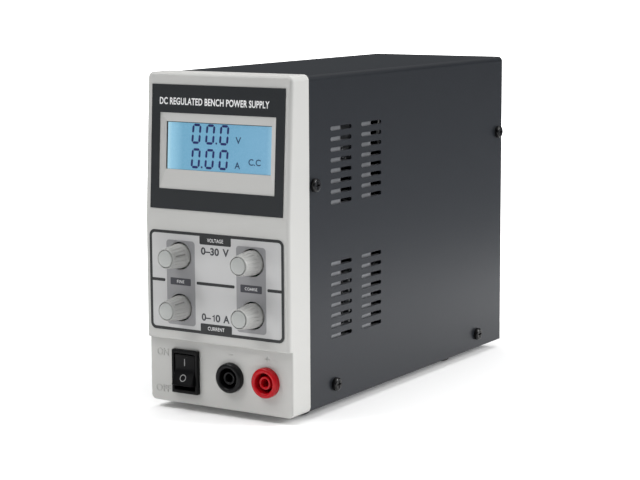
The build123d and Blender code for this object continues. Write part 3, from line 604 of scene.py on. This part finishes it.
def make_knob(tag, x, z, pointer_deg):
    body = tag + "_control"
    prof = [(3.0, -13.2), (5.6, -13.2), (5.78, -13.5), (5.78, -18.4), (5.75, -18.9), (5.66, -19.4)]
    ys = [-19.5, -19.9, -20.3, -21.2, -22.4, -23.6, -24.8, -26.0, -27.0, -27.5, -27.9, -28.3]
    prof += [(cone_r(y), y) for y in ys]
    prof += [(4.72, -28.55), (4.62, -28.78), (4.5, -28.9), (4.36, -28.9), (4.28, -28.82), (4.26, -28.6), (4.26, -27.9),
             (3.0, -27.9)]
    k = put(tag + "_knob_body", lathe(x, z, prof, n=FLUTES * 10, flute=knob_flute), "knob", body, 40)
    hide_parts(tag + "_knob")
    cap = [(0, -27.9), (3.9, -27.9), (3.92, -28.2), (3.92, -28.95), (3.84, -29.15), (3.66, -29.26), (2.6, -29.4),
           (1.3, -29.48), (0, -29.5)]
    c = put(tag + "_cap_disc", lathe(x, z, cap, n=96), "knob_cap", body, 40)
    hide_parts(tag + "_knob_cap")
    # pointer line let into the side of the knob
    phi = math.radians(pointer_deg)
    half = 0.3
    verts, faces = [], []
    ysp = [-20.6 - 0.4 * i for i in range(17)]
    for y in ysp:
        r = cone_r(y)
        for off in (-half, half):
            a = phi + off / r
            for rr in (r + 0.03, r - 0.25):
                verts.append(P(x + rr * math.sin(a), y, z + rr * math.cos(a)))
    n = len(ysp)
    for i in range(n - 1):
        a, b = 4 * i, 4 * (i + 1)
        faces += [(a, a + 2, b + 2, b), (a + 2, a + 3, b + 3, b + 2), (a + 3, a + 1, b + 1, b + 3),
                  (a + 1, a, b, b + 1)]
    faces += [(0, 1, 3, 2), tuple(4 * (n - 1) + q for q in (0, 2, 3, 1))]
    put(tag + "_pointer", mesh_from(verts, faces), "pointer", body)


make_knob("voltage_fine", -KX, KZ[0], 75)
make_knob("voltage_coarse", KX, KZ[0], -150)
make_knob("current_fine", -KX, KZ[1], 52)
make_knob("current_coarse", KX, KZ[1], -150)

# ---------------------------------------------------------------- rocker switch
SX, SZ = -19.4, 15.0
PIVOT_Y = -13.0


def frame_ring(outer, inner_, y_front, y_back, well_y):
    """Switch frame: rounded plate with a stepped well."""
    loops_ = [(outer, y_back), (outer, y_front), (inner_, y_front), (inner_, well_y)]
    verts, faces, rings = [], [], []
    for pts, y in loops_:
        rings.append([len(verts) + i for i in range(len(pts))])
        verts += [P(px, y, pz) for px, pz in pts]
    n = len(rings[0])
    for a, b in zip(rings, rings[1:]):
        for i in range(n):
            j = (i + 1) % n
            faces.append((a[i], a[j], b[j], b[i]))
    faces.append(tuple(rings[-1]))
    return mesh_from(verts, faces)


o_loop = rounded(SX - 7.5, SX + 7.5, SZ - 10.5, SZ + 10.5, 0.45, 6)
i_loop = rounded(SX - 6.1, SX + 6.1, SZ - 8.75, SZ + 8.75, 0.5, 6)
ring_me = bevel_mesh(frame_ring(o_loop, i_loop, -16.8, -14.8, -9.4), 0.18, 2, 40)
body_me = bevel_mesh(prism([(-14.85, SZ - 9.5), (-14.85, SZ + 9.5), (-2.4, SZ + 9.5), (-2.4, SZ - 9.5)],
                           SX - 6.9, SX + 6.9), 0.2, 2)
bm = bmesh.new()
bm.from_mesh(body_me)
front = [f for f in bm.faces if f.normal.y < -0.9 and f.calc_area() > 1e-5]
bmesh.ops.delete(bm, geom=front, context="FACES")
bm.to_mesh(body_me)
bm.free()
sw = put("switch_frame", join_meshes([ring_me, body_me]), "black", smooth=40)
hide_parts("switch_housing")

T = math.radians(12.0)
A = -T


def tilt(y, z):
    return (PIVOT_Y + y * math.cos(A) - z * math.sin(A), SZ + y * math.sin(A) + z * math.cos(A))


HALF = 7.4
TT = math.tan(T)
face_pts = []
N = 14
for i in range(N + 1):
    zz = HALF - 2 * HALF * i / N
    # two flats meeting in a softened valley
    yy = -3.7 - TT * (math.sqrt(zz * zz + 1.2) - math.sqrt(1.2)) * (HALF / (math.sqrt(HALF * HALF + 1.2) - math.sqrt(1.2)))
    face_pts.append(tilt(yy, zz))
poly = face_pts + [tilt(-1.9, -HALF - 0.05), tilt(1.4, -4.3), tilt(1.4, 4.3), tilt(-1.9, HALF + 0.05)]
paddle = bevel_mesh(prism(poly, SX - 5.75, SX + 5.75), 0.32, 3, 32)
pd = put("switch_paddle", paddle, "black", "power_rocker", 30)
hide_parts("switch_rocker")


def paddle_plane(upper):
    """Plane on the upper or lower flat of the paddle, origin at that flat's middle."""
    s = 1 if upper else -1
    a_, b_ = tilt(-3.7, 0), tilt(-3.7 - TT * HALF, s * HALF)
    up = Vector((0, (b_[0] - a_[0]) * s, (b_[1] - a_[1]) * s)).normalized()
    mid = ((a_[0] + b_[0]) / 2, (a_[1] + b_[1]) / 2)
    return plane_matrix(P(SX, mid[0], mid[1]), (1, 0, 0), up)


glyph_i = curve_plate([rounded(-0.2, 0.2, -1.7, 1.7, 0.1, 3)], paddle_plane(True), 0.05, lift=-0.01)
ring_o = curve_plate([circle_pts(0, 0, 1.75, 48), circle_pts(0, 0, 1.38, 48)], paddle_plane(False), 0.05, lift=-0.01)
put("switch_symbols", join_meshes([glyph_i, ring_o]), "symbol", "power_rocker")

# ---------------------------------------------------------------- output sockets
for colour, x, mat in (("black", 6.1, "black_socket"), ("red", 26.2, "red_socket")):
    z = 14.9
    prof = [(4.8, -4.0), (4.8, -17.1), (4.86, -17.45), (5.05, -17.7), (5.4, -17.86), (5.9, -17.9), (6.4, -17.8),
            (6.85, -17.5), (7.08, -17.1), (7.15, -16.6), (7.15, -14.8), (5.95, -14.8), (5.95, -0.3), (2.5, -0.3),
            (2.5, -9.0), (2.02, -9.0), (2.02, -16.2), (2.1, -16.45), (2.3, -16.6), (2.8, -16.6), (3.0, -16.52),
            (3.1, -16.3), (3.1, -4.0)]
    s_ = put(colour + "_socket_shell", lathe(x, z, prof, n=120), mat, smooth=40)
    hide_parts(colour + "_socket")
    cp = [(2.0, -8.7), (2.12, -9.0), (2.5, -9.0), (2.5, 7.6), (0, 7.6), (0, 4.6), (2.0, 4.6)]
    tab = prism([(7.0, z - 0.4), (7.0, z + 0.4), (12.6, z + 0.4), (12.6, z - 0.4)], x - 1.6, x + 1.6)
    c_ = put(colour + "_contact_tube", join_meshes([lathe(x, z, cp, n=72), tab]), "contact", smooth=40)
    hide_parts(colour + "_socket_contact")

# ---------------------------------------------------------------- carried-over CAD pieces
for node, mat in {
        "top_cover": "cover", "rear_panel": "cover", "chassis": "galvanised", "cover_screws": "screw_black",
        "panel_screws": "screw_black", "fan_frame": "fan", "fan_rotor": "fan", "fan_guard": "chrome",
        "fan_screws": "zinc", "mains_inlet": "black", "inlet_pins": "tin", "fuse_drawer": "black", "fuse": "tin",
        "inlet_screws": "zinc", "selector_housing": "black", "selector_slider": "selector", "main_board": "board",
        "display_board": "board", "control_board": "board", "board_standoffs": "contact", "board_screws": "zinc",
        "transformer_core": "ferrite", "transformer_winding": "tape", "output_choke": "choke",
        "electrolytic_capacitors": "can", "primary_heat_sink": "sink", "secondary_heat_sink": "sink",
        "power_transistors": "bakelite", "rubber_feet": "rubber", "foot_screws": "zinc", "socket_nuts": "black",
        "switch_terminals": "tin", "lcd_backlight": "guide",
        "voltage_fine_pot": "pot", "voltage_coarse_pot": "pot", "current_fine_pot": "pot", "current_coarse_pot": "pot",
        "voltage_fine_shaft": "shaft", "voltage_coarse_shaft": "shaft", "current_fine_shaft": "shaft",
        "current_coarse_shaft": "shaft"}.items():
    dress(node, mat)

# ---------------------------------------------------------------- camera
YAW, PITCH, ROLL = 0.56034, 0.14871, -0.00499
fwd = Vector((-math.sin(YAW) * math.cos(PITCH), math.cos(YAW) * math.cos(PITCH), -math.sin(PITCH)))
right = Vector((math.cos(YAW), math.sin(YAW), 0))
up = right.cross(fwd)
r2 = right * math.cos(ROLL) + up * math.sin(ROLL)
u2 = -right * math.sin(ROLL) + up * math.cos(ROLL)
cam_data = bpy.data.cameras.new("camera")
cam_data.sensor_fit = "HORIZONTAL"
cam_data.sensor_width = 36.0
cam_data.lens = 1842.05 * 36.0 / 640.0
cam_data.clip_start, cam_data.clip_end = 0.02, 50.0
cam = bpy.data.objects.new("camera", cam_data)
bpy.context.scene.collection.objects.link(cam)
m = Matrix.Identity(4)
pos = P(489.87, -706.91, 206.18)
for i in range(3):
    m[i][0], m[i][1], m[i][2], m[i][3] = r2[i], u2[i], -fwd[i], pos[i]
cam.matrix_world = m
bpy.context.scene.camera = cam

# ---------------------------------------------------------------- floor, light
fm, fnt, fb = _nodes("studio_floor")
# a white table that fades out to the right of the picture and in front of it, where the studio is dark
tc = fnt.nodes.new("ShaderNodeTexCoord")


def _slope(direction, start, stop, lo_, hi_):
    dot = fnt.nodes.new("ShaderNodeVectorMath")
    dot.operation = "DOT_PRODUCT"
    dot.inputs[1].default_value = direction
    fnt.links.new(tc.outputs["Object"], dot.inputs[0])
    r = fnt.nodes.new("ShaderNodeMapRange")
    r.interpolation_type = "SMOOTHSTEP"
    r.inputs["From Min"].default_value, r.inputs["From Max"].default_value = start, stop
    r.inputs["To Min"].default_value, r.inputs["To Max"].default_value = lo_, hi_
    fnt.links.new(dot.outputs["Value"], r.inputs["Value"])
    return r.outputs["Result"]


def _times(a_, b_):
    n = fnt.nodes.new("ShaderNodeMath")
    n.operation = "MULTIPLY"
    fnt.links.new(a_, n.inputs[0])
    fnt.links.new(b_, n.inputs[1])
    return n.outputs["Value"]


pool = _times(_slope((0.926, 0.378, 0), 0.16, 0.42, 1.0, 0.0), _slope((0, 1, 0), -0.62, -0.30, 0.0, 1.0))
# seen straight on, the table is white everywhere; only what the gloss and the bounce light see of it fades out
path = fnt.nodes.new("ShaderNodeLightPath")
seen = fnt.nodes.new("ShaderNodeMath")
seen.operation = "MAXIMUM"
fnt.links.new(pool, seen.inputs[0])
fnt.links.new(path.outputs["Is Camera Ray"], seen.inputs[1])
pool = seen.outputs["Value"]
grain_f = _noise(fnt, 3.0, 2.0)
lit = _ramp(fnt, grain_f, [(0.3, (0.93, 0.93, 0.93)), (0.7, (0.95, 0.95, 0.95))])
dimmed = _ramp(fnt, grain_f, [(0.3, (0.27, 0.28, 0.30)), (0.7, (0.29, 0.30, 0.32))])
fmix = fnt.nodes.new("ShaderNodeMix")
fmix.data_type = "RGBA"
fnt.links.new(pool, fmix.inputs["Factor"])
fnt.links.new(dimmed, fmix.inputs["A"])
fnt.links.new(lit, fmix.inputs["B"])
fnt.links.new(fmix.outputs["Result"], fb.inputs["Base Color"])
fb.inputs["Roughness"].default_value = 0.9
fb.inputs["Specular IOR Level"].default_value = 0.0
ln = fnt.nodes.new("ShaderNodeVectorMath")
ln.operation = "LENGTH"
fnt.links.new(tc.outputs["Object"], ln.inputs[0])
far = fnt.nodes.new("ShaderNodeMapRange")
far.inputs["From Min"].default_value = 0.16
far.inputs["From Max"].default_value = 0.60
far.inputs["To Min"].default_value = 0.05
far.inputs["To Max"].default_value = 0.75
fnt.links.new(ln.outputs["Value"], far.inputs["Value"])
fb.inputs["Emission Color"].default_value = (1, 1, 1, 1)
glow = fnt.nodes.new("ShaderNodeMath")
glow.operation = "ADD"
fnt.links.new(_times(far.outputs["Result"], pool), glow.inputs[0])
wide = fnt.nodes.new("ShaderNodeMapRange")
wide.inputs["From Min"].default_value = 0.9
wide.inputs["From Max"].default_value = 2.4
wide.inputs["To Min"].default_value = 0.0
wide.inputs["To Max"].default_value = 0.16
fnt.links.new(ln.outputs["Value"], wide.inputs["Value"])
fnt.links.new(wide.outputs["Result"], glow.inputs[1])
paper = fnt.nodes.new("ShaderNodeMapRange")
paper.inputs["From Min"].default_value = 0.45
paper.inputs["From Max"].default_value = 1.3
paper.inputs["To Min"].default_value = 0.0
paper.inputs["To Max"].default_value = 0.9
fnt.links.new(ln.outputs["Value"], paper.inputs["Value"])
sweep = fnt.nodes.new("ShaderNodeMath")
sweep.operation = "ADD"
fnt.links.new(glow.outputs["Value"], sweep.inputs[0])
fnt.links.new(_times(paper.outputs["Result"], path.outputs["Is Camera Ray"]), sweep.inputs[1])
fnt.links.new(sweep.outputs["Value"], fb.inputs["Emission Strength"])
outline = [(-9, -9), (9, -9), (9, 9), (-9, 9)]
fme = mesh_from([(x, y, 0) for x, y in outline], [tuple(range(len(outline)))])
floor = bpy.data.objects.new("floor", fme)
fme.materials.append(fm)
bpy.context.scene.collection.objects.link(floor)

world = bpy.data.worlds.new("studio")
world.use_nodes = True
wnt = world.node_tree
wb = wnt.nodes["Background"]
wtc = wnt.nodes.new("ShaderNodeTexCoord")
wsep = wnt.nodes.new("ShaderNodeSeparateXYZ")
wnt.links.new(wtc.outputs["Generated"], wsep.inputs["Vector"])
wmr = wnt.nodes.new("ShaderNodeMapRange")
wmr.inputs["From Min"].default_value = -0.1
wmr.inputs["From Max"].default_value = 1.0
wnt.links.new(wsep.outputs["Z"], wmr.inputs["Value"])
wcol = _ramp(wnt, wmr.outputs["Result"], [(0.0, (0.045, 0.05, 0.055)), (0.38, (0.07, 0.075, 0.08)),
                                          (0.70, (0.55, 0.55, 0.55)), (1.0, (0.75, 0.75, 0.75))])
wpath = wnt.nodes.new("ShaderNodeLightPath")
wmix = wnt.nodes.new("ShaderNodeMix")
wmix.data_type = "RGBA"
wnt.links.new(wpath.outputs["Is Camera Ray"], wmix.inputs["Factor"])
wnt.links.new(wcol, wmix.inputs["A"])
wmix.inputs["B"].default_value = (1.0, 1.0, 1.0, 1.0)
wnt.links.new(wmix.outputs["Result"], wb.inputs["Color"])
wb.inputs["Strength"].default_value = 1.0
bpy.context.scene.world = world


def area(name, loc, target, size, power, color=(1, 1, 1)):
    li = bpy.data.lights.new(name, "AREA")
    li.shape = "RECTANGLE"
    li.size, li.size_y = size
    li.energy = power
    li.color = color
    o = bpy.data.objects.new(name, li)
    bpy.context.scene.collection.objects.link(o)
    o.location = loc
    d = Vector(target) - Vector(loc)
    o.rotation_mode = "QUATERNION"
    o.rotation_quaternion = d.to_track_quat("-Z", "Y")
    return o


area("key_right", (1.38, 0.66, 0.80), (0, -0.02, 0.08), (0.7, 0.7), 25.0)
area("fill_left", (-0.65, -0.85, 1.30), (0, -0.1, 0.08), (0.6, 0.6), 12.0)
area("top_soft", (0.0, 0.1, 1.5), (0, 0.0, 0.0), (1.5, 1.5), 12.0)

sc = bpy.context.scene
sc.view_settings.view_transform = "Standard"
sc.view_settings.look = "None"
sc.view_settings.exposure = 0.0
sc.cycles.use_denoising = True
